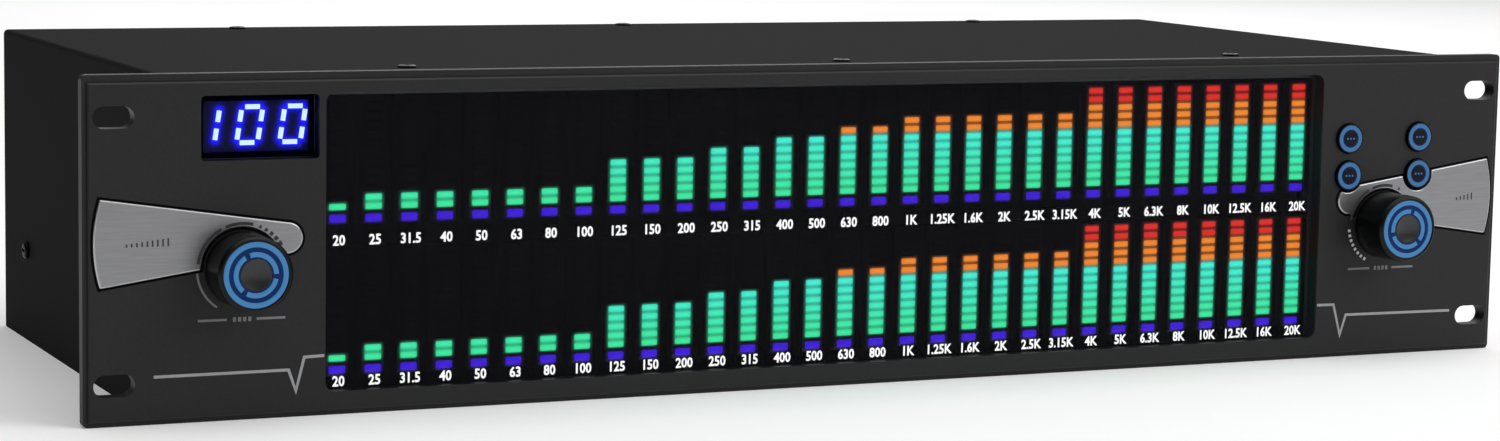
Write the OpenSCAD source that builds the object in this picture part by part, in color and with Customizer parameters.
// Rack-width graphic equalizer with a spectrum display, two rotary controls and four push buttons.
// +X is to the right, +Y to the back and +Z up. The origin is under the middle of the object.

/* [Front panel] */
// Width of the front panel, ear to ear
panel_w = 482.6; // [460:0.1:520]
// Height of the front panel
panel_h = 100; // [98:0.5:130]
// Thickness of the front panel
panel_t = 5; // [4.5:0.1:7]
// Depth of the rebate round the panel's edge
rim_depth = 1.2; // [0.6:0.1:1.6]
// Width of the rebate at the sides and the bottom
rim_w = 1.4; // [1:0.1:2]
// Width of the rebate at the top
rim_top_w = 2.2; // [1:0.1:2.6]
// Bevel on the face's edges
face_bevel = 0.5; // [0.2:0.1:0.8]

/* [Rack slots] */
// Distance between the left and right slots
slot_pitch_x = 465.1; // [450:0.1:466]
// Distance between the lower and upper slots
slot_pitch_z = 76.2; // [70:0.1:80]
// Length of a slot, end to end
slot_len = 12; // [9:0.5:13]
// Height of a slot
slot_h = 6.4; // [5:0.1:7]

/* [Case] */
// Width of the case behind the panel
case_w = 440; // [436:1:446]
// Depth of the case behind the panel
case_d = 194; // [180:1:320]
// Thickness of the case's sheet steel
sheet_t = 1.2; // [1:0.1:1.6]
// Height of the tray's side walls
tray_side_h = 42; // [38:1:60]
// Height of the cover's side screws
side_screw_z = 30; // [20:1:34]

/* [Display] */
// Width of the display window
window_w = 341; // [339:0.5:342]
// Height of the display window
window_h = 87.3; // [87:0.1:87.6]
// Height of the window's centre
window_z = 50.6; // [50:0.1:51]
// Corner radius of the window
window_r = 3; // [2:0.5:5]
// Number of frequency bands
band_count = 31; // [15:1:31]
// Distance between neighbouring bands
band_pitch = 11; // [10.8:0.1:11.1]
// Width of one bar module
bar_w = 9.8; // [8:0.1:10]
// Height of one bar module
bar_h = 37.5; // [36:0.5:38]
// Lower edge of the lower row of bars
bar_low_z = 10.4; // [10:0.1:10.6]
// Distance between the two rows of bars
bar_row_pitch = 44.5; // [42:0.1:44.8]
// Width of the level readout's window
digit_w = 34.9; // [34:0.1:35.2]
// Height of the level readout's window
digit_h = 18.6; // [18:0.1:19]
// Distance of the readout's centre from the middle
digit_x = 189.9; // [189.5:0.1:191]
// Height of the readout's centre
digit_z = 84.4; // [83.5:0.1:85]

/* [Controls] */
// Distance of the rotary controls from the middle
knob_x = 195.5; // [194:0.5:197]
// Height of the rotary controls
knob_z = 44; // [42:0.5:46]
// Radius of a knob
knob_r = 11; // [10.5:0.1:11.4]
// How far a knob stands out from the panel
knob_reach = 15; // [13:0.5:20]
// Outer radius of the knob's light ring
ring_r = 9.6; // [9:0.1:9.8]
// Radius of the dished disc in the knob's face
dish_r = 4.7; // [4:0.1:5]
// Radius of a push button
button_r = 4.8; // [4.4:0.1:4.9]
// How far a button stands out from the panel
button_reach = 1.2; // [1:0.1:2]
// Travel of a button
button_travel = 1; // [0.5:0.1:1]
// Distance of the inner buttons from the middle
button_x = 181; // [180.5:0.1:181.5]
// Sideways distance between buttons
button_pitch_x = 27.5; // [26.5:0.1:27.6]
// Height of the lower buttons
button_z = 60.7; // [60.5:0.1:61]
// Distance between the rows of buttons
button_pitch_z = 12.3; // [12.3:0.1:13]

/* [Accent plates] */
// Thickness of an accent plate
plate_t = 1.2; // [1:0.1:1.5]
// Depth of its pocket in the panel
plate_sink = 0.6; // [0.4:0.1:0.8]
// Outer reach of the plate from the middle
plate_out_x = 238.6; // [238:0.1:239]
// Radius of the plate's outer edge
plate_arc_r = 44.5; // [40:0.5:60]
// Centre of the plate's round tip from the middle
plate_tip_x = 182; // [181.5:0.1:183]
// Radius of the tip
plate_tip_r = 4.6; // [4.2:0.1:4.8]
// Half height of the plate's wide end
plate_end_h = 13; // [12:0.1:13.5]
// Height of the plate's middle line
plate_z = 52.4; // [52:0.1:53]

/* [Rear] */
// Length of a phono socket outside the rear panel
phono_reach = 9; // [8:0.5:12]
// Outer radius of a phono socket
phono_r = 4.15; // [4.1:0.05:4.2]
// Bore radius of a quarter-inch jack
jack_bore_r = 3.25; // [3.2:0.05:3.3]
// Swing of the power rocker
rocker_swing = 20; // [16:1:22]

/* [Fits] */
// Gap between sheets that lie together
sheet_gap = 0.1; // [0.05:0.05:0.2]
// Gap round a window or plate in its opening
inset_gap = 0.2; // [0.1:0.05:0.3]
// Gap round a button in its hole
button_gap = 0.3; // [0.2:0.05:0.4]
// Radial clearance of a turning shaft
shaft_gap = 0.05; // [0.02:0.01:0.1]
// Gap round a sliding or swinging piece
slide_gap = 0.2; // [0.15:0.05:0.3]

/* [Hidden] */
$fn = 48;

// Distances along Y from the panel's front face, before everything is centred
rear_y = panel_t + case_d;
y_shift = (knob_reach - rear_y - phono_reach) / 2;
case_top = panel_h;
inner_half_w = case_w / 2 - sheet_t - sheet_gap;
inner_low = sheet_t + sheet_gap;
inner_top = case_top - sheet_t - sheet_gap;
subpanel_y = panel_t;
subpanel_back = subpanel_y + sheet_t;
board_t = 1.6;
board_gap = 8.3;
bar_face_gap = 0.4;
digit_face_gap = 0.2;
digit_module_half = [15.8, 8.8];
board_y = subpanel_back + board_gap;
board_back = board_y + board_t;
rear_panel_y = rear_y - sheet_t - sheet_gap;
rear_panel_back = rear_panel_y + sheet_t;

// Windows: how far the pane lies behind the face, and where its flange starts
pane_sink = 0.4;
flange_y = 3.4;
flange_reach = 3.8;
pane_back = panel_t - sheet_gap;
panel_corner_r = 1.5;
digit_corner_r = 1.2;

// Openings in the subpanel, smaller than the panes so that it backs their edges
led_open_low = 6.2;
led_open_top = 93;
led_open_inset = 0.6;
digit_ledge = 1.8;

// Fastenings
m3_r = 1.5;
m3_hole_r = 1.55;
m3_clear_r = 1.7;
pan_r = 2.8;
pan_h = 1.6;
low_head_h = 0.8;
case_screw_len = 5;
csk_r = 2.7;
stud_points = [[213, 92], [213, 8], [178, 30]];
stud_len = 5.5;
m2_r = 1;
m2_screw_r = 0.97;
m2_head_r = 1.8;
m2_head_h = 1.2;
nut_r = 3.1;
nut_t = 2.4;
tab_x = [-142, 0, 142];
tab_w = 18;
tab_len = 14;
tab_low_top = inner_low + sheet_t;
tab_high_under = inner_top - sheet_t;
side_screw_y = [45, 160];

// Rotary encoders
shaft_r = 3;
bush_r = 3.5;
bush_front = -5;
bush_hole_r = 3.7;
enc_nut_r = 5.6;
enc_nut_t = 2;
enc_half = 6.5;
shaft_back = 11;
collar_r = 4.6;
knob_gap = 0.6;
knob_wall = 2;
knob_edge = 0.8;
knob_boss_r = 5;
knob_hollow_y = -9;
knob_boss_back = -5.6;
shaft_front = -11;
ring_t = 2;
ring_sink = 0.3;
press_gap = 0.03;

// Push buttons
button_flange_r = 5.7;
button_flange_t = 1;
button_flange_y = subpanel_back + slide_gap;
button_ring_in = 2.6;
button_ring_out = 4.5;
button_ring_t = 1;
plunger_r = 1.7;
plunger_gap = 0.06;
plunger_len = 3.2;
switch_half = 3;
switch_y = 9.6;
plate_button_hole_r = 5.6;
plate_knob_hole_r = 11.9;
island_step = 0.25;

// Inside the case
main_x = [-60, 130];
main_y = [62, 168];
main_z = 9.2;
toroid_x = -140;
toroid_y = 108;
toroid_r = 44;
toroid_h = 34;
toroid_core_r = 13;
pad_t = 2;
pad_r = 38;
toroid_washer_r = 32;
toroid_washer_t = 1.6;
toroid_bolt_r = 3;
main_post_x = [-54, 124];
main_post_y = [68, 162];

// Rear fittings
inlet_x = -170;
inlet_z = 52;
inlet_w = 30;
inlet_h = 36;
inlet_deep = 24;
bezel_t = 2.4;
bezel_lip = 3;
socket_w = 24.4;
socket_h = 16.6;
socket_deep = 17;
socket_up = 7;
drawer_w = 23.6;
drawer_h = 8.4;
drawer_deep = 19;
drawer_down = 10;
drawer_lip = 1.4;
rocker_x = -125;
rocker_z = 52;
rocker_w = 10.2;
rocker_half = 7.4;
rocker_case_w = 14.6;
rocker_case_h = 20.6;
rocker_deep = 16;
rocker_lip = 2;
rocker_pivot_y = 0.6;
rocker_well = 6.4;
rocker_lift = 3;
trunnion_r = 1.2;
trunnion_len = 1;
jack_x = [38, 64, 90, 116];
jack_z = 52;
jack_box = 15;
jack_box_deep = 26;
jack_bush_r = 4.7;
jack_bush_reach = 4;
jack_bore_len = 30;
jack_nut_r = 7;
jack_nut_t = 2.4;
phono_x = [158, 176];
phono_z = [43, 61];
phono_bore_r = 1.65;
phono_flange_r = 6.5;
phono_flange_t = 1.4;
phono_neck_r = 3.6;
phono_tail = 9;
vent_count = 9;
vent_pitch = 7;
vent_x = -85;

module place() {
    translate([0, y_shift, 0]) children();
}

// A block between two corners
module block(low, high) {
    translate(low) cube(high - low);
}

// A round bar along Y
module bar_y(x, z, r, from_y, to_y) {
    translate([x, from_y, z]) rotate([-90, 0, 0]) cylinder(h = to_y - from_y, r = r);
}

// A shape drawn in X and Z, extruded along Y
module along_y(from_y, to_y) {
    translate([0, to_y, 0]) rotate([90, 0, 0]) linear_extrude(to_y - from_y) children();
}

// A shape drawn in Y and Z, extruded along X
module along_x(from_x, to_x) {
    translate([from_x, 0, 0]) rotate([90, 0, 90]) linear_extrude(to_x - from_x) children();
}

module rounded_rect(w, h, r) {
    square([w, h - 2 * r], center = true);
    square([w - 2 * r, h], center = true);
    for (sx = [-1, 1], sz = [-1, 1])
        translate([sx * (w / 2 - r), sz * (h / 2 - r)]) circle(r = r);
}

module obround(w, h) {
    square([w - h, h], center = true);
    for (sx = [-1, 1]) translate([sx * (w - h) / 2, 0]) circle(r = h / 2);
}

// A 45 degree cutter along an edge that runs in X
module bevel_x(len, y, z, size) {
    translate([0, y, z]) rotate([45, 0, 0])
        cube([len, size * sqrt(2), size * sqrt(2)], center = true);
}

// A 45 degree cutter along an edge that runs in Z
module bevel_z(len, x, y, z, size) {
    translate([x, y, z]) rotate([0, 0, 45])
        cube([size * sqrt(2), size * sqrt(2), len], center = true);
}

// Outline of the right-hand accent plate, grown by g: a wedge with a round tip and a curved end
module accent_outline(g) {
    end_x = plate_out_x + 2;
    end_half = plate_end_h + g + (end_x - plate_out_x) * (plate_end_h - plate_tip_r)
        / (plate_out_x - plate_tip_x);
    intersection() {
        translate([plate_out_x - plate_arc_r, plate_z]) circle(r = plate_arc_r + g);
        polygon([
            [plate_tip_x, plate_z - plate_tip_r - g],
            [end_x, plate_z - end_half],
            [end_x, plate_z + end_half],
            [plate_tip_x, plate_z + plate_tip_r + g]
        ]);
    }
    translate([plate_tip_x, plate_z]) circle(r = plate_tip_r + g);
}

// The places on the plate that stay open: the knob and, on the right, the two lower buttons
module accent_holes(step, buttons) {
    translate([knob_x, knob_z]) circle(r = plate_knob_hole_r - step);
    if (buttons)
        for (i = [0, 1])
            translate([button_x + i * button_pitch_x, button_z]) circle(r = plate_button_hole_r - step);
}

module accent_plate(buttons) {
    along_y(plate_sink - plate_t, plate_sink) difference() {
        accent_outline(0);
        accent_holes(0, buttons);
    }
}

module accent_pocket(buttons) {
    along_y(-1, plate_sink) difference() {
        accent_outline(inset_gap);
        accent_holes(island_step, buttons);
    }
}

module accent_plate_right() {
    place() color("#a5a5a6") accent_plate(true);
}

module accent_plate_left() {
    place() color("#8c8c8e") mirror([1, 0, 0]) accent_plate(false);
}

module button_points() {
    for (i = [0, 1], j = [0, 1])
        translate([button_x + i * button_pitch_x, 0, button_z + j * button_pitch_z]) children();
}

module rack_slots() {
    for (sx = [-1, 1], sz = [-1, 1])
        translate([sx * slot_pitch_x / 2, 0, panel_h / 2 + sz * slot_pitch_z / 2])
            along_y(-1, panel_t + 1) obround(slot_len, slot_h);
}

// The rebated plate: a full-size back part and a smaller raised face
module panel_blank() {
    face_half = panel_w / 2 - rim_w;
    along_y(rim_depth, panel_t) translate([0, panel_h / 2]) rounded_rect(panel_w, panel_h, panel_corner_r);
    difference() {
        block([-face_half, 0, rim_w], [face_half, rim_depth + 1, panel_h - rim_top_w]);
        for (z = [rim_w, panel_h - rim_top_w]) bevel_x(panel_w, 0, z, face_bevel);
        for (sx = [-1, 1]) bevel_z(panel_h * 2, sx * face_half, 0, panel_h / 2, face_bevel);
    }
    for (p = stud_points, sx = [-1, 1])
        bar_y(sx * p[0], p[1], m3_r, panel_t - 1, panel_t + stud_len);
}

module front_panel() {
    place() color("#303032") difference() {
        panel_blank();
        rack_slots();
        along_y(-1, panel_t + 1) translate([0, window_z]) rounded_rect(window_w, window_h, window_r);
        block([-window_w / 2, flange_y, window_z - window_h / 2 - flange_reach],
            [window_w / 2, panel_t + 1, window_z + window_h / 2 + flange_reach]);
        along_y(-1, panel_t + 1) translate([-digit_x, digit_z])
            rounded_rect(digit_w, digit_h, digit_corner_r);
        for (sx = [-1, 1]) bar_y(sx * knob_x, knob_z, bush_hole_r, -1, panel_t + 1);
        button_points() bar_y(0, 0, button_r + button_gap, -1, panel_t + 1);
        accent_pocket(true);
        mirror([1, 0, 0]) accent_pocket(false);
    }
}

// Smoked pane with a flange above and below, held between the panel and the subpanel
module display_window() {
    pane_w = window_w - 2 * inset_gap;
    flange_half = window_h / 2 + flange_reach - inset_gap;
    place() color("#18181a") union() {
        along_y(pane_sink, pane_back) translate([0, window_z])
            rounded_rect(pane_w, window_h - 2 * inset_gap, window_r - inset_gap);
        block([-pane_w / 2, flange_y + inset_gap, window_z - flange_half],
            [pane_w / 2, pane_back, window_z + flange_half]);
    }
}

module digit_window() {
    place() color("#00001e") along_y(pane_sink, pane_back) translate([-digit_x, digit_z])
        rounded_rect(digit_w - 2 * inset_gap, digit_h - 2 * inset_gap, digit_corner_r - inset_gap);
}

// Tabs folded back from a sheet, with a screw hole through each
module fold_tabs(from_y, low_z) {
    for (x = tab_x) difference() {
        block([x - tab_w / 2, from_y, low_z], [x + tab_w / 2, from_y + tab_len, low_z + sheet_t]);
        translate([x, from_y + (tab_len + sheet_t) / 2, low_z - 1])
            cylinder(h = sheet_t + 2, r = m3_hole_r);
    }
}

module front_subpanel() {
    place() color("#9a9ca0") difference() {
        union() {
            block([-inner_half_w, subpanel_y, inner_low], [inner_half_w, subpanel_back, inner_top]);
            fold_tabs(subpanel_y, inner_low);
            fold_tabs(subpanel_y, inner_top - sheet_t);
        }
        block([led_open_inset - window_w / 2, subpanel_y - 1, led_open_low],
            [window_w / 2 - led_open_inset, subpanel_back + 1, led_open_top]);
        translate([-digit_x, 0, digit_z])
            block([digit_ledge - digit_w / 2, subpanel_y - 1, digit_ledge - digit_h / 2],
                [digit_w / 2 - digit_ledge, subpanel_back + 1, digit_h / 2 - digit_ledge]);
        for (sx = [-1, 1]) bar_y(sx * knob_x, knob_z, bush_hole_r, subpanel_y - 1, subpanel_back + 1);
        button_points() bar_y(0, 0, button_r + button_gap, subpanel_y - 1, subpanel_back + 1);
        for (p = stud_points, sx = [-1, 1])
            bar_y(sx * p[0], p[1], m3_clear_r, subpanel_y - 1, subpanel_back + 1);
    }
}

module panel_nuts() {
    place() color("#b8b8ba") for (p = stud_points, sx = [-1, 1]) difference() {
        translate([sx * p[0], subpanel_back, p[1]]) rotate([-90, 0, 0])
            cylinder(h = nut_t, r = nut_r, $fn = 6);
        bar_y(sx * p[0], p[1], m3_hole_r, subpanel_back - 1, subpanel_back + nut_t + 1);
    }
}

// Inverted U of folded sheet: the top and both sides in one piece
module top_cover() {
    bend_r = 1.5;
    place() color("#2c2c2e") difference() {
        along_y(panel_t + sheet_gap, rear_y) difference() {
            union() {
                translate([-case_w / 2, 0]) square([case_w, case_top - bend_r]);
                translate([-case_w / 2 + bend_r, 0]) square([case_w - 2 * bend_r, case_top]);
                for (sx = [-1, 1])
                    translate([sx * (case_w / 2 - bend_r), case_top - bend_r]) circle(r = bend_r);
            }
            translate([-case_w / 2 + sheet_t, -1]) square([case_w - 2 * sheet_t, case_top - sheet_t + 1]);
        }
        for (y = side_screw_y)
            translate([-case_w, panel_t + y, side_screw_z]) rotate([0, 90, 0])
                cylinder(h = 2 * case_w, r = m3_clear_r);
        for (x = tab_x, y = top_screw_y())
            translate([x, y, case_top - 2 * sheet_t]) cylinder(h = 4 * sheet_t, r = m3_clear_r);
    }
}

// Where the top and base screws stand: one row at the front tabs and one at the rear tabs
function top_screw_y() = [
    subpanel_y + (tab_len + sheet_t) / 2,
    rear_panel_back - (tab_len + sheet_t) / 2
];

// A pan head screw pointing down, its head's underside at z = 0
module pan_screw(head_r, head_h, len) {
    cylinder(h = head_h, r = head_r);
    translate([0, 0, -len]) cylinder(h = len + 0.2, r = m3_r);
}

module cover_side_screws() {
    place() color("#1c1c1e") for (y = side_screw_y, sx = [-1, 1])
        translate([sx * case_w / 2, panel_t + y, side_screw_z]) rotate([0, sx * 90, 0])
            pan_screw(pan_r, pan_h, case_screw_len);
}

module cover_top_screws() {
    place() color("#1c1c1e") for (x = tab_x, y = top_screw_y())
        translate([x, y, case_top]) pan_screw(pan_r, low_head_h, case_screw_len);
}

// Bottom and two low side walls, folded from one sheet
module base_tray() {
    place() color("#3a3a3c") difference() {
        union() {
            block([-inner_half_w, subpanel_y, 0], [inner_half_w, rear_panel_back, sheet_t]);
            for (x = [-inner_half_w, inner_half_w - sheet_t])
                block([x, subpanel_back + sheet_gap, 0],
                    [x + sheet_t, rear_panel_y - sheet_gap, tray_side_h]);
        }
        for (y = side_screw_y)
            translate([-case_w, panel_t + y, side_screw_z]) rotate([0, 90, 0])
                cylinder(h = 2 * case_w, r = m3_hole_r);
        for (x = tab_x, y = top_screw_y()) translate([x, y, -0.01]) {
            cylinder(h = sheet_t + 1, r = m3_clear_r);
            cylinder(h = sheet_t - 0.2, r1 = csk_r + 0.1, r2 = m3_clear_r);
        }
        for (x = main_post_x, y = main_post_y)
            translate([x, y, -1]) cylinder(h = sheet_t + 2, r = m3_hole_r);
        translate([toroid_x, toroid_y, -1]) cylinder(h = sheet_t + 2, r = toroid_bolt_r + 0.2);
    }
}

module base_screws() {
    place() color("#1c1c1e") for (x = tab_x, y = top_screw_y()) translate([x, y, 0]) {
        cylinder(h = sheet_t - 0.2, r1 = csk_r, r2 = m3_r);
        cylinder(h = 6, r = m3_r);
    }
}

module vents() {
    for (i = [0 : vent_count - 1], z = [34, 64])
        translate([vent_x + i * vent_pitch, 0, z])
            along_y(rear_panel_y - 1, rear_panel_back + 1) rotate(90) obround(24, 3);
}

// Cutter for a rectangular fitting, centred
module fitting_hole(w, h) {
    block([-w / 2 - inset_gap, rear_panel_y - 1, -h / 2 - inset_gap],
        [w / 2 + inset_gap, rear_panel_back + 1, h / 2 + inset_gap]);
}

module rear_panel() {
    place() color("#2c2c2e") difference() {
        union() {
            block([-inner_half_w, rear_panel_y, inner_low], [inner_half_w, rear_panel_back, inner_top]);
            translate([0, rear_panel_y + rear_panel_back, 0]) mirror([0, 1, 0]) {
                fold_tabs(rear_panel_y, inner_low);
                fold_tabs(rear_panel_y, inner_top - sheet_t);
            }
        }
        translate([inlet_x, 0, inlet_z]) fitting_hole(inlet_w, inlet_h);
        translate([rocker_x, 0, rocker_z]) fitting_hole(rocker_case_w, rocker_case_h);
        for (x = jack_x) bar_y(x, jack_z, jack_bush_r + inset_gap, rear_panel_y - 1, rear_panel_back + 1);
        for (x = phono_x, z = phono_z)
            bar_y(x, z, phono_neck_r + inset_gap, rear_panel_y - 1, rear_panel_back + 1);
        vents();
    }
}

// Turned knob with a hollow back that covers the nut, and a recessed face for the ring and dish
module knob_body() {
    color("#101012") translate([knob_x, 0, knob_z]) difference() {
        union() {
            bar_y(0, 0, knob_r, knob_edge - knob_reach, -knob_gap);
            translate([0, knob_edge - knob_reach, 0]) rotate([90, 0, 0])
                cylinder(h = knob_edge, r1 = knob_r, r2 = knob_r - knob_edge);
        }
        difference() {
            bar_y(0, 0, knob_r - knob_wall, knob_hollow_y, 0);
            bar_y(0, 0, knob_boss_r, knob_hollow_y - 1, knob_boss_back);
        }
        bar_y(0, 0, shaft_r + press_gap, shaft_front - 0.2, 1);
        bar_y(0, 0, ring_r + press_gap, -knob_reach - 1, ring_sink + ring_t - knob_reach);
    }
}

// Light guide ring let into the knob's face
module knob_ring() {
    front = ring_sink - knob_reach;
    color("#2a6fd0") translate([knob_x, 0, knob_z]) difference() {
        bar_y(0, 0, ring_r, front, front + ring_t);
        bar_y(0, 0, dish_r + press_gap, front - 1, front + ring_t + 1);
    }
}

// Black disc in the middle of the ring, dished on the front
module knob_dish() {
    front = ring_sink - knob_reach;
    dish_curve_r = 14;
    dish_depth = 0.7;
    color("#1a1a1c") translate([knob_x, 0, knob_z]) difference() {
        bar_y(0, 0, dish_r, front, front + ring_t);
        translate([0, front - dish_curve_r + dish_depth, 0]) sphere(r = dish_curve_r, $fn = 96);
    }
}

module encoder_shaft() {
    color("#c0c0c4") translate([knob_x, 0, knob_z]) union() {
        bar_y(0, 0, shaft_r, shaft_front, shaft_back);
        bar_y(0, 0, collar_r, shaft_back - 1, shaft_back + 1);
    }
}

module knob_left_body() {
    place() mirror([1, 0, 0]) knob_body();
}

module knob_left_ring() {
    place() mirror([1, 0, 0]) knob_ring();
}

module knob_left_dish() {
    place() mirror([1, 0, 0]) knob_dish();
}

module encoder_left_shaft() {
    place() mirror([1, 0, 0]) encoder_shaft();
}

module knob_right_body() {
    place() knob_body();
}

module knob_right_ring() {
    place() knob_ring();
}

module knob_right_dish() {
    place() knob_dish();
}

module encoder_right_shaft() {
    place() encoder_shaft();
}

// Encoder housings with their bushes, one behind each knob
module encoder_bodies() {
    place() color("#7c7e82") for (sx = [-1, 1]) translate([sx * knob_x, 0, knob_z]) difference() {
        union() {
            block([-enc_half, subpanel_back + sheet_gap, -enc_half], [enc_half, board_y, enc_half]);
            bar_y(0, 0, bush_r, bush_front, subpanel_back + 1);
        }
        bar_y(0, 0, shaft_r + shaft_gap, bush_front - 1, shaft_back);
        bar_y(0, 0, collar_r + slide_gap, shaft_back - 1 - slide_gap, shaft_back + 1 + slide_gap);
    }
}

module encoder_nuts() {
    place() color("#b8b8ba") for (sx = [-1, 1]) translate([sx * knob_x, -enc_nut_t, knob_z]) difference() {
        rotate([-90, 0, 0]) cylinder(h = enc_nut_t, r = enc_nut_r, $fn = 6);
        bar_y(0, 0, bush_r + press_gap, -1, enc_nut_t + 1);
    }
}

module at_button(i, j) {
    place() translate([button_x + i * button_pitch_x, 0, button_z + j * button_pitch_z]) children();
}

// Button cap with a flange behind the subpanel that keeps it in
module button_cap() {
    color("#0c0c10") difference() {
        union() {
            bar_y(0, 0, button_r, -button_reach, button_flange_y + button_flange_t);
            bar_y(0, 0, button_flange_r, button_flange_y, button_flange_y + button_flange_t);
        }
        difference() {
            bar_y(0, 0, button_ring_out + press_gap, -button_reach - 1, button_ring_t - button_reach);
            bar_y(0, 0, button_ring_in - press_gap, -button_reach - 2, button_ring_t - button_reach + 1);
        }
    }
}

module button_ring() {
    color("#2a6fd0") difference() {
        bar_y(0, 0, button_ring_out, 0.05 - button_reach, button_ring_t - button_reach);
        bar_y(0, 0, button_ring_in, -button_reach - 1, button_ring_t + 1);
    }
}

module button_plunger() {
    from_y = button_flange_y + button_flange_t;
    color("#e8e8e0") bar_y(0, 0, plunger_r, from_y, from_y + plunger_len);
}

module button_upper_left_cap() {
    at_button(0, 1) button_cap();
}

module button_upper_left_ring() {
    at_button(0, 1) button_ring();
}

module button_upper_left_plunger() {
    at_button(0, 1) button_plunger();
}

module button_upper_right_cap() {
    at_button(1, 1) button_cap();
}

module button_upper_right_ring() {
    at_button(1, 1) button_ring();
}

module button_upper_right_plunger() {
    at_button(1, 1) button_plunger();
}

module button_lower_left_cap() {
    at_button(0, 0) button_cap();
}

module button_lower_left_ring() {
    at_button(0, 0) button_ring();
}

module button_lower_left_plunger() {
    at_button(0, 0) button_plunger();
}

module button_lower_right_cap() {
    at_button(1, 0) button_cap();
}

module button_lower_right_ring() {
    at_button(1, 0) button_ring();
}

module button_lower_right_plunger() {
    at_button(1, 0) button_plunger();
}

// Push switches on the control board, with room in each well for the plunger's travel
module switch_bodies() {
    well_back = button_flange_y + button_flange_t + plunger_len + button_travel + slide_gap;
    place() color("#26262a") button_points() difference() {
        block([-switch_half, switch_y, -switch_half], [switch_half, board_y, switch_half]);
        bar_y(0, 0, plunger_r + plunger_gap, switch_y - 1, well_back);
    }
}

// An upright board over a span in X and a span in Z
module board_blank(x, z, holes) {
    place() difference() {
        block([x[0], board_y, z[0]], [x[1], board_back, z[1]]);
        for (p = holes) bar_y(p[0], p[1], m2_r + 0.1, board_y - 1, board_back + 1);
    }
}

// Outlines and screw places of the three upright boards, the middle one reaching from tab to tab
display_board_half = 171;
display_board_z = [tab_low_top + sheet_gap, tab_high_under - sheet_gap];
side_board_x = [173.5, 216];
side_board_z = [6, 97];
display_holes = [for (x = [-160, -85, -50, 50, 85, 160], z = [4, 95.2]) [x, z]];
side_holes = [for (x = [177, 212], z = [15, 52]) [x, z]];

function mirrored(points) = [for (p = points) [-p[0], p[1]]];

module display_board() {
    color("#0e3b22") board_blank([-display_board_half, display_board_half], display_board_z, display_holes);
}

module control_board_left() {
    color("#0e3b22") mirror([1, 0, 0]) board_blank(side_board_x, side_board_z, side_holes);
}

module control_board_right() {
    color("#0e3b22") board_blank(side_board_x, side_board_z, side_holes);
}

module bargraph_row(low_z) {
    span = (band_count - 1) * band_pitch;
    place() color("#0c0c0e") for (i = [0 : band_count - 1])
        translate([i * band_pitch - span / 2, 0, 0])
            block([-bar_w / 2, subpanel_back + bar_face_gap, low_z], [bar_w / 2, board_y, low_z + bar_h]);
}

module bargraphs_lower() {
    bargraph_row(bar_low_z);
}

module bargraphs_upper() {
    bargraph_row(bar_low_z + bar_row_pitch);
}

module digit_module() {
    place() color("#08080c") translate([-digit_x, 0, digit_z])
        block([-digit_module_half[0], subpanel_back + digit_face_gap, -digit_module_half[1]],
            [digit_module_half[0], board_y, digit_module_half[1]]);
}

module front_standoffs() {
    post_r = 1.8;
    place() color("#b89850") for (p = concat(display_holes, side_holes, mirrored(side_holes)))
        difference() {
            bar_y(p[0], p[1], post_r, subpanel_back, board_y);
            bar_y(p[0], p[1], m2_r, board_y - 5, board_y + 1);
        }
}

// Small screws that hold the upright boards from behind and the main board from above
module board_screws() {
    place() color("#b8b8ba") {
        for (p = concat(display_holes, side_holes, mirrored(side_holes))) {
            bar_y(p[0], p[1], m2_screw_r, board_y - 3, board_back + m2_head_h / 2);
            bar_y(p[0], p[1], m2_head_r, board_back, board_back + m2_head_h);
        }
        for (x = main_post_x, y = main_post_y)
            translate([x, y, main_z + board_t]) pan_screw(pan_r, pan_h, case_screw_len);
    }
}

module main_board() {
    place() color("#0e3b22") difference() {
        block([main_x[0], main_y[0], main_z], [main_x[1], main_y[1], main_z + board_t]);
        for (x = main_post_x, y = main_post_y)
            translate([x, y, main_z - 1]) cylinder(h = board_t + 2, r = m3_clear_r);
    }
}

// Reservoir capacitors, chips and plug headers that stand on the main board
module board_components() {
    top = main_z + board_t;
    place() color("#1a1a1e") {
        for (x = [-40, -18], y = [92, 116]) translate([x, y, top]) cylinder(h = 25, r = 8);
        for (x = [12, 34, 56, 78, 100]) block([x, 120, top], [x + 10, 140, top + 3]);
        block([40, 84, top], [60, 104, top + 1.6]);
        block([84, 84, top], [98, 98, top + 1.6]);
        block([20, 66, top], [48, 72, top + 9]);
        for (x = [10, 26, 44, 62, 80, 98]) translate([x, 112, top]) cylinder(h = 11, r = 3.2);
        block([-44, 140, top], [-34, 156, top + 12]);
    }
}

// Comb-shaped aluminium heat sink
module heat_sink() {
    place() color("#8a8c90") translate([-28, 146, main_z + board_t]) union() {
        cube([34, 3, 24]);
        for (i = [0 : 6]) translate([i * 5.33, 2, 0]) cube([2, 11, 24]);
    }
}

module main_standoffs() {
    place() color("#b89850") for (x = main_post_x, y = main_post_y) translate([x, y, 0]) difference() {
        union() {
            translate([0, 0, sheet_t]) cylinder(h = main_z - sheet_t, r = 3);
            cylinder(h = sheet_t + 1, r = m3_r);
        }
        translate([0, 0, main_z - 5.5]) cylinder(h = 8, r = m3_hole_r);
    }
}

module transformer_pads() {
    place() color("#26262a") translate([toroid_x, toroid_y, 0]) {
        for (z = [sheet_t, sheet_t + pad_t + toroid_h]) translate([0, 0, z]) difference() {
            cylinder(h = pad_t, r = pad_r);
            translate([0, 0, -1]) cylinder(h = pad_t + 2, r = toroid_bolt_r + 0.4);
        }
    }
}

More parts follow.
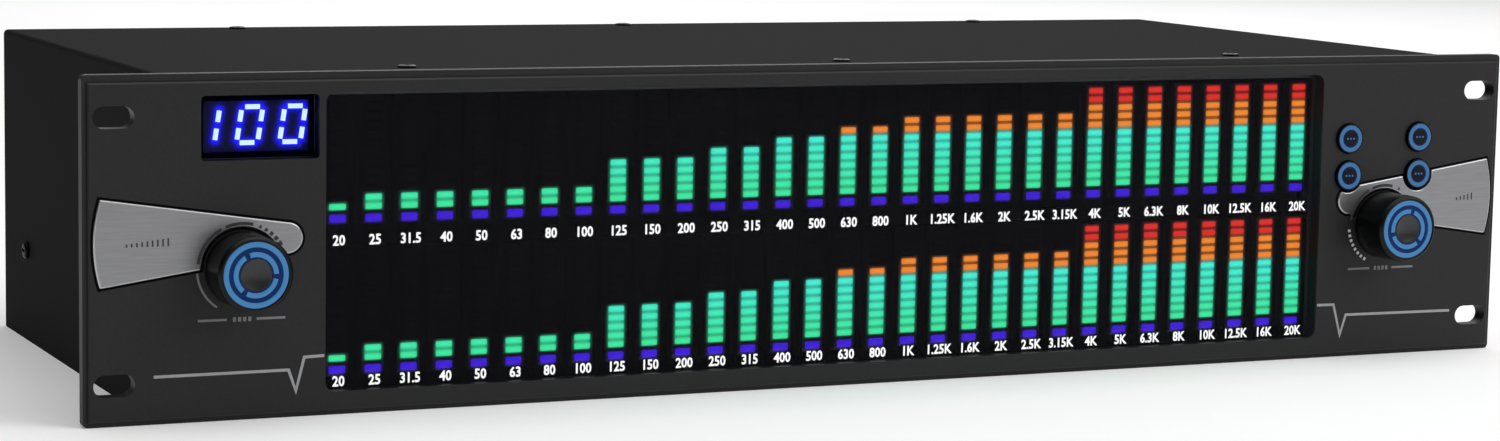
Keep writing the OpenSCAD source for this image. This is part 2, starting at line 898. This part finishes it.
// Taped ring core with its windings, rounded top and bottom
module transformer() {
    edge_r = 8;
    place() color("#c8a020") translate([toroid_x, toroid_y, sheet_t + pad_t]) rotate_extrude() {
        translate([toroid_core_r + edge_r, 0]) square([toroid_r - toroid_core_r - 2 * edge_r, toroid_h]);
        translate([toroid_core_r, edge_r]) square([toroid_r - toroid_core_r, toroid_h - 2 * edge_r]);
        for (x = [toroid_core_r + edge_r, toroid_r - edge_r], z = [edge_r, toroid_h - edge_r])
            translate([x, z]) circle(r = edge_r);
    }
}

// Bolt up through the ring, with a dished washer and nut on top
module transformer_bolt() {
    top = sheet_t + 2 * pad_t + toroid_h;
    place() color("#b8b8ba") translate([toroid_x, toroid_y, 0]) {
        translate([0, 0, 0.1]) cylinder(h = top + 8, r = toroid_bolt_r);
        translate([0, 0, top]) cylinder(h = toroid_washer_t, r = toroid_washer_r);
        translate([0, 0, top + toroid_washer_t]) cylinder(h = 4, r = 5.5, $fn = 6);
    }
}

// Flat ribbon from the display board's back down to the main board's header
module ribbon_cable() {
    ribbon_t = 1;
    top_z = 40;
    end_y = 66;
    header_top = main_z + board_t + 9;
    place() color("#8f9094") along_x(22, 46) union() {
        translate([board_back, top_z - 6]) square([6, 8]);
        translate([board_back + 6, top_z - 1]) square([10, ribbon_t]);
        translate([board_back + 15, header_top + 3]) square([ribbon_t, top_z - header_top - 3]);
        translate([board_back + 15, header_top + 3]) square([end_y + 3 - board_back - 15, ribbon_t]);
        translate([end_y + 1, header_top]) square([4, 4]);
    }
}

// Flat twin lead from the power switch forward and down to the transformer
module mains_wiring() {
    lead_w = 5;
    lead_t = 2.2;
    switch_back = rear_panel_back - rocker_deep;
    run_z = sheet_t + 2 * pad_t + toroid_h + 2;
    end_z = sheet_t + 8;
    drop_y = toroid_y + toroid_r;
    place() color("#3a3a40") along_x(rocker_x - lead_w / 2, rocker_x + lead_w / 2) union() {
        translate([switch_back - 10, rocker_z - 1]) square([10, lead_t]);
        translate([switch_back - 11, run_z]) square([lead_t, rocker_z + lead_t - 1 - run_z]);
        translate([drop_y - 2, run_z]) square([switch_back - 8 - drop_y, lead_t]);
        translate([drop_y, end_z]) square([lead_t, run_z + lead_t - end_z]);
    }
}

// Outline of a mains socket's well: a rectangle with its two upper corners cut off
module socket_outline(w, h) {
    cut = 4.5;
    polygon([
        [-w / 2, -h / 2], [w / 2, -h / 2], [w / 2, h / 2 - cut],
        [w / 2 - cut, h / 2], [cut - w / 2, h / 2], [-w / 2, h / 2 - cut]
    ]);
}

// Mains inlet with three blades, and a drawer bay below it
module power_inlet() {
    face = rear_panel_back + bezel_t;
    bay_w = drawer_w + 2 * slide_gap;
    bay_h = drawer_h + 2 * slide_gap;
    place() color("#141416") translate([inlet_x, 0, inlet_z]) {
        difference() {
            union() {
                block([-inlet_w / 2, face - inlet_deep, -inlet_h / 2],
                    [inlet_w / 2, face - 1, inlet_h / 2]);
                along_y(rear_panel_back, face)
                    rounded_rect(inlet_w + 2 * bezel_lip, inlet_h + 2 * bezel_lip, 2);
            }
            along_y(face - socket_deep, face + 1) translate([0, socket_up])
                socket_outline(socket_w, socket_h);
            block([-bay_w / 2, face - drawer_deep - slide_gap, -drawer_down - bay_h / 2],
                [bay_w / 2, face + 1, bay_h / 2 - drawer_down]);
        }
        for (p = [[-7, -2], [7, -2], [0, 2]]) translate([p[0], face - socket_deep - 1, socket_up + p[1]])
            block([-1, 0, -2], [1, 14, 2]);
    }
}

// Fuse drawer with a finger lip, and a window through it for the fuse
module fuse_drawer() {
    face = rear_panel_back + bezel_t;
    place() color("#1c1c20") translate([inlet_x, 0, inlet_z - drawer_down]) difference() {
        union() {
            block([-drawer_w / 2, face - drawer_deep, -drawer_h / 2], [drawer_w / 2, face, drawer_h / 2]);
            block([-5, face - 1, -drawer_h / 2], [5, face + drawer_lip, -drawer_h / 2 + 2]);
        }
        block([-drawer_w / 2 + 2, face - drawer_deep + 3, -drawer_h / 2 + 1.2],
            [drawer_w / 2 - 2, face - 4, drawer_h / 2 + 1]);
    }
}

module rocker_housing() {
    face = rear_panel_back + bezel_t;
    pivot = rear_panel_back + rocker_pivot_y;
    well_w = rocker_w + 2 * slide_gap;
    well_h = 2 * rocker_half + 2.4;
    place() color("#141416") translate([rocker_x, 0, rocker_z]) difference() {
        union() {
            block([-rocker_case_w / 2, rear_panel_back - rocker_deep, -rocker_case_h / 2],
                [rocker_case_w / 2, face - 1, rocker_case_h / 2]);
            along_y(rear_panel_back, face)
                rounded_rect(rocker_case_w + 2 * rocker_lip, rocker_case_h + 2 * rocker_lip, 1.5);
        }
        block([-well_w / 2, pivot - rocker_well, -well_h / 2], [well_w / 2, face + 1, well_h / 2]);
        translate([0, pivot, 0]) rotate([0, 90, 0])
            cylinder(h = rocker_w + 2 * trunnion_len + 0.8, r = trunnion_r + shaft_gap, center = true);
    }
}

// See-saw key with a shallow V face on a pair of trunnions, at rest tipped to one side
module power_rocker() {
    pivot = rear_panel_back + rocker_pivot_y;
    place() color("#101014") translate([rocker_x, pivot, rocker_z]) rotate([-rocker_swing / 2, 0, 0]) {
        along_x(-rocker_w / 2, rocker_w / 2) polygon([
            [-2.4, -rocker_half + 1.6], [rocker_lift, -rocker_half], [rocker_lift - 0.9, 0],
            [rocker_lift, rocker_half], [-2.4, rocker_half - 1.6]
        ]);
        rotate([0, 90, 0]) cylinder(h = rocker_w + 2 * trunnion_len, r = trunnion_r, center = true);
    }
}

module phone_jacks() {
    front = rear_panel_back + jack_bush_reach;
    place() color("#26262a") for (x = jack_x) difference() {
        union() {
            translate([x, 0, jack_z]) block([-jack_box / 2, rear_panel_y - jack_box_deep, -jack_box / 2],
                [jack_box / 2, rear_panel_y - sheet_gap, jack_box / 2]);
            bar_y(x, jack_z, jack_bush_r, rear_panel_y - 1, front);
        }
        bar_y(x, jack_z, jack_bore_r, front - jack_bore_len, front + 1);
    }
}

module phone_jack_nuts() {
    place() color("#b8b8ba") for (x = jack_x) translate([x, rear_panel_back, jack_z]) difference() {
        rotate([-90, 0, 0]) cylinder(h = jack_nut_t, r = jack_nut_r, $fn = 6);
        bar_y(0, 0, jack_bush_r + press_gap, -1, jack_nut_t + 1);
    }
}

// Phono sockets: a barrel with a flange outside the panel, a neck through it and a tail inside
module phono_sockets() {
    place() color("#c8ccd0") for (x = phono_x, z = phono_z) difference() {
        union() {
            bar_y(x, z, phono_r, rear_panel_back, rear_y + phono_reach);
            bar_y(x, z, phono_flange_r, rear_panel_back, rear_panel_back + phono_flange_t);
            bar_y(x, z, phono_neck_r, rear_panel_y - phono_tail, rear_panel_back + 1);
            bar_y(x, z, phono_flange_r, rear_panel_y - 2.1, rear_panel_y - sheet_gap);
        }
        bar_y(x, z, phono_bore_r, rear_panel_back - 2, rear_y + phono_reach + 1);
    }
}

front_panel();
accent_plate_left();
accent_plate_right();
display_window();
digit_window();
front_subpanel();
panel_nuts();
top_cover();
cover_side_screws();
cover_top_screws();
base_tray();
base_screws();
rear_panel();
knob_left_body();
knob_left_ring();
knob_left_dish();
encoder_left_shaft();
knob_right_body();
knob_right_ring();
knob_right_dish();
encoder_right_shaft();
encoder_bodies();
encoder_nuts();
button_upper_left_cap();
button_upper_left_ring();
button_upper_left_plunger();
button_upper_right_cap();
button_upper_right_ring();
button_upper_right_plunger();
button_lower_left_cap();
button_lower_left_ring();
button_lower_left_plunger();
button_lower_right_cap();
button_lower_right_ring();
button_lower_right_plunger();
switch_bodies();
display_board();
bargraphs_upper();
bargraphs_lower();
digit_module();
control_board_left();
control_board_right();
front_standoffs();
board_screws();
main_board();
board_components();
heat_sink();
main_standoffs();
transformer();
transformer_pads();
transformer_bolt();
ribbon_cable();
mains_wiring();
power_inlet();
fuse_drawer();
rocker_housing();
power_rocker();
phone_jacks();
phone_jack_nuts();
phono_sockets();
